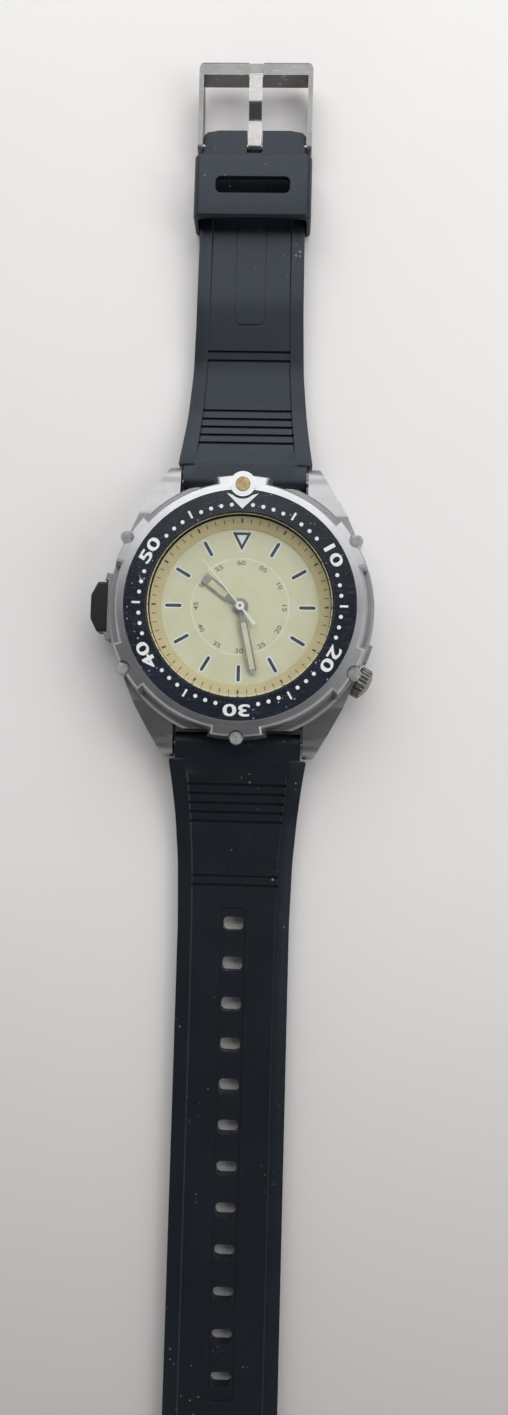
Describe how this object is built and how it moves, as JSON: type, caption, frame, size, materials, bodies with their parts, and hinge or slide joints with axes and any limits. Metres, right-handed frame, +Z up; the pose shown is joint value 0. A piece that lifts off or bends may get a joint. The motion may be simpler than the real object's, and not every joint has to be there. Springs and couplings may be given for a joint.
{
  "type": "diver's wrist watch",
  "caption": "Analogue quartz diver's watch with turning lobed bezel, luminous dial, offset crown, light button and a two-piece rubber strap with keeper and pin buckle, laid flat.",
  "frame": {"origin": "centre of the case back's flat outer face, which lies on the table", "axes": "+Z up through the glass, +Y towards 12 o'clock along the strap, +X towards 3 o'clock"},
  "size_m": [0.0452, 0.231, 0.0111],
  "materials": {
    "case_metal": "bead-blasted grey",
    "back_metal": "circular brushed",
    "seal_rubber": "smooth",
    "glass": "clear mineral glass",
    "bezel_metal": "bead-blasted grey with worn edges",
    "bezel_insert": "black print, fine scratches",
    "pip": "aged luminous",
    "spring_steel": "bright",
    "dial_face": "luminous ivory",
    "lamp_panel": "printed panel",
    "chapter_ring": "pale yellow print",
    "hour_hand": "grey lacquer, luminous fill",
    "minute_hand": "grey lacquer, luminous fill",
    "second_hand": "white lacquer",
    "brass": "turned",
    "rotor_metal": "soft iron",
    "plate_metal": "nickel plated",
    "cell_metal": "plated can",
    "board": "solder mask",
    "chip": "moulded",
    "coil_wire": "lacquered wire",
    "holder_plastic": "moulded",
    "crown_metal": "satin",
    "button_black": "satin moulded",
    "strap_rubber": "matt with light dust",
    "buckle_metal": "satin front, polished sides"
  },
  "bodies": {
    "case": {"case_middle": "case_metal", "crown_tube": "case_metal", "case_back": "back_metal", "case_back_gasket": "seal_rubber", "glass_gasket": "seal_rubber", "crystal": "glass", "bezel_click_spring": "spring_steel", "dial": "dial_face", "dial_lamp_panel": "lamp_panel", "chapter_ring": "chapter_ring", "main_plate": "plate_metal", "train_bridge": "plate_metal", "circuit_cover": "plate_metal", "movement_screws": "spring_steel", "coin_cell": "cell_metal", "cell_clamp": "spring_steel", "cell_clamp_screws": "spring_steel", "circuit_board": "board", "timing_chip": "chip", "quartz_can": "cell_metal", "stator": "rotor_metal", "coil_winding": "coil_wire", "movement_holder": "holder_plastic", "dial_spacer": "holder_plastic", "light_switch_blade": "spring_steel", "lamp_contact_springs": "spring_steel", "button_seal": "seal_rubber", "button_spring": "spring_steel", "spring_bar_tubes": "spring_steel", "spring_bar_tips": "spring_steel"},
    "bezel": {"bezel_ring": "bezel_metal", "bezel_insert": "bezel_insert", "bezel_pip": "pip"},
    "second_works": {"second_wheel": "brass", "second_hand": "second_hand"},
    "fifth_works": {"fifth_wheel": "brass"},
    "rotor_works": {"rotor": "rotor_metal"},
    "third_works": {"third_wheel": "brass"},
    "minute_works": {"centre_wheel": "brass", "cannon_pinion": "brass", "minute_hand": "minute_hand"},
    "minute_wheel_works": {"minute_wheel": "brass"},
    "hour_works": {"hour_wheel": "brass", "hour_hand": "hour_hand"},
    "setting_wheel_works": {"setting_wheel": "brass"},
    "stem_slide": {"setting_lever": "spring_steel", "crown_gasket": "seal_rubber"},
    "crown_works": {"crown": "crown_metal", "winding_stem": "spring_steel"},
    "yoke": {"clutch_yoke": "spring_steel"},
    "clutch": {"sliding_clutch": "spring_steel"},
    "light_switch": {"light_button": "button_black", "button_stem": "spring_steel", "button_clip": "spring_steel"},
    "upper_strap": {"strap_buckle_side": "strap_rubber"},
    "lower_strap": {"strap_hole_side": "strap_rubber"},
    "keeper": {"keeper_loop": "strap_rubber"},
    "buckle": {"buckle_frame": "buckle_metal", "buckle_bar": "buckle_metal"},
    "tongue": {"buckle_tongue": "buckle_metal"}
  },
  "joints": [
    {"name": "bezel_turn", "type": "hinge", "parent": "case", "child": "bezel", "pos_m": [0, 0, 0.0093], "axis": [0, 0, 1], "continuous": true},
    {"name": "second_turn", "type": "hinge", "parent": "case", "child": "second_works", "pos_m": [0, 0, 0.0045], "axis": [0, 0, -1], "continuous": true},
    {"name": "fifth_turn", "type": "hinge", "parent": "case", "child": "fifth_works", "pos_m": [0.00304, 0, 0.0045], "axis": [0, 0, -1], "continuous": true},
    {"name": "rotor_turn", "type": "hinge", "parent": "case", "child": "rotor_works", "pos_m": [0.00429, 0.00072, 0.0045], "axis": [0, 0, -1], "continuous": true},
    {"name": "third_turn", "type": "hinge", "parent": "case", "child": "third_works", "pos_m": [-0.00153, 0.00265, 0.0045], "axis": [0, 0, -1], "continuous": true},
    {"name": "minute_turn", "type": "hinge", "parent": "case", "child": "minute_works", "pos_m": [0, 0, 0.0045], "axis": [0, 0, -1], "continuous": true},
    {"name": "minute_wheel_turn", "type": "hinge", "parent": "case", "child": "minute_wheel_works", "pos_m": [0.00148, -0.00261, 0.0071], "axis": [0, 0, -1], "continuous": true},
    {"name": "hour_turn", "type": "hinge", "parent": "case", "child": "hour_works", "pos_m": [0, 0, 0.0075], "axis": [0, 0, -1], "continuous": true},
    {"name": "setting_wheel_turn", "type": "hinge", "parent": "case", "child": "setting_wheel_works", "pos_m": [0.00485, -0.0028, 0.006], "axis": [0, 0, -1], "continuous": true},
    {"name": "crown_pull", "type": "slide", "parent": "case", "child": "stem_slide", "axis": [0.866, -0.5, 0], "range_m": [0, 0.001]},
    {"name": "crown_turn", "type": "hinge", "parent": "stem_slide", "child": "crown_works", "pos_m": [0.01732, -0.01, 0.0046], "axis": [0.866, -0.5, 0], "continuous": true},
    {"name": "clutch_shift", "type": "slide", "parent": "case", "child": "yoke", "axis": [0.866, -0.5, 0], "range_m": [-0.0005, 0]},
    {"name": "clutch_turn", "type": "hinge", "parent": "yoke", "child": "clutch", "pos_m": [0.00693, -0.004, 0.0046], "axis": [0.866, -0.5, 0], "continuous": true},
    {"name": "light_press", "type": "slide", "parent": "case", "child": "light_switch", "axis": [1, 0, 0], "range_m": [0, 0.0005], "stiffness_N_per_m": 1500, "springref_m": -0.001},
    {"name": "upper_strap_swing", "type": "hinge", "parent": "case", "child": "upper_strap", "pos_m": [0, 0.0213, 0.0034], "axis": [1, 0, 0], "range_deg": [-70, 10]},
    {"name": "lower_strap_swing", "type": "hinge", "parent": "case", "child": "lower_strap", "pos_m": [0, -0.0213, 0.0034], "axis": [-1, 0, 0], "range_deg": [-70, 10]},
    {"name": "keeper_slide", "type": "slide", "parent": "upper_strap", "child": "keeper", "axis": [0, -1, 0], "range_m": [-0.0005, 0.011]},
    {"name": "buckle_swing", "type": "hinge", "parent": "upper_strap", "child": "buckle", "pos_m": [0, 0.0792, 0.00245], "axis": [1, 0, 0], "range_deg": [-90, 30]},
    {"name": "tongue_swing", "type": "hinge", "parent": "buckle", "child": "tongue", "pos_m": [0, 0.0792, 0.00245], "axis": [1, 0, 0], "range_deg": [0, 60]}
  ],
  "couplings": [
    {"joint": "fifth_turn", "follows": "second_turn", "ratio": -6},
    {"joint": "rotor_turn", "follows": "second_turn", "ratio": 30},
    {"joint": "third_turn", "follows": "second_turn", "ratio": -0.13333},
    {"joint": "minute_turn", "follows": "second_turn", "ratio": 0.016667},
    {"joint": "minute_wheel_turn", "follows": "second_turn", "ratio": -0.0055556},
    {"joint": "hour_turn", "follows": "second_turn", "ratio": 0.0013889},
    {"joint": "setting_wheel_turn", "follows": "second_turn", "ratio": 0.011111},
    {"joint": "clutch_shift", "follows": "crown_pull", "ratio": -0.5},
    {"joint": "clutch_turn", "follows": "crown_turn", "ratio": 1}
  ]
}
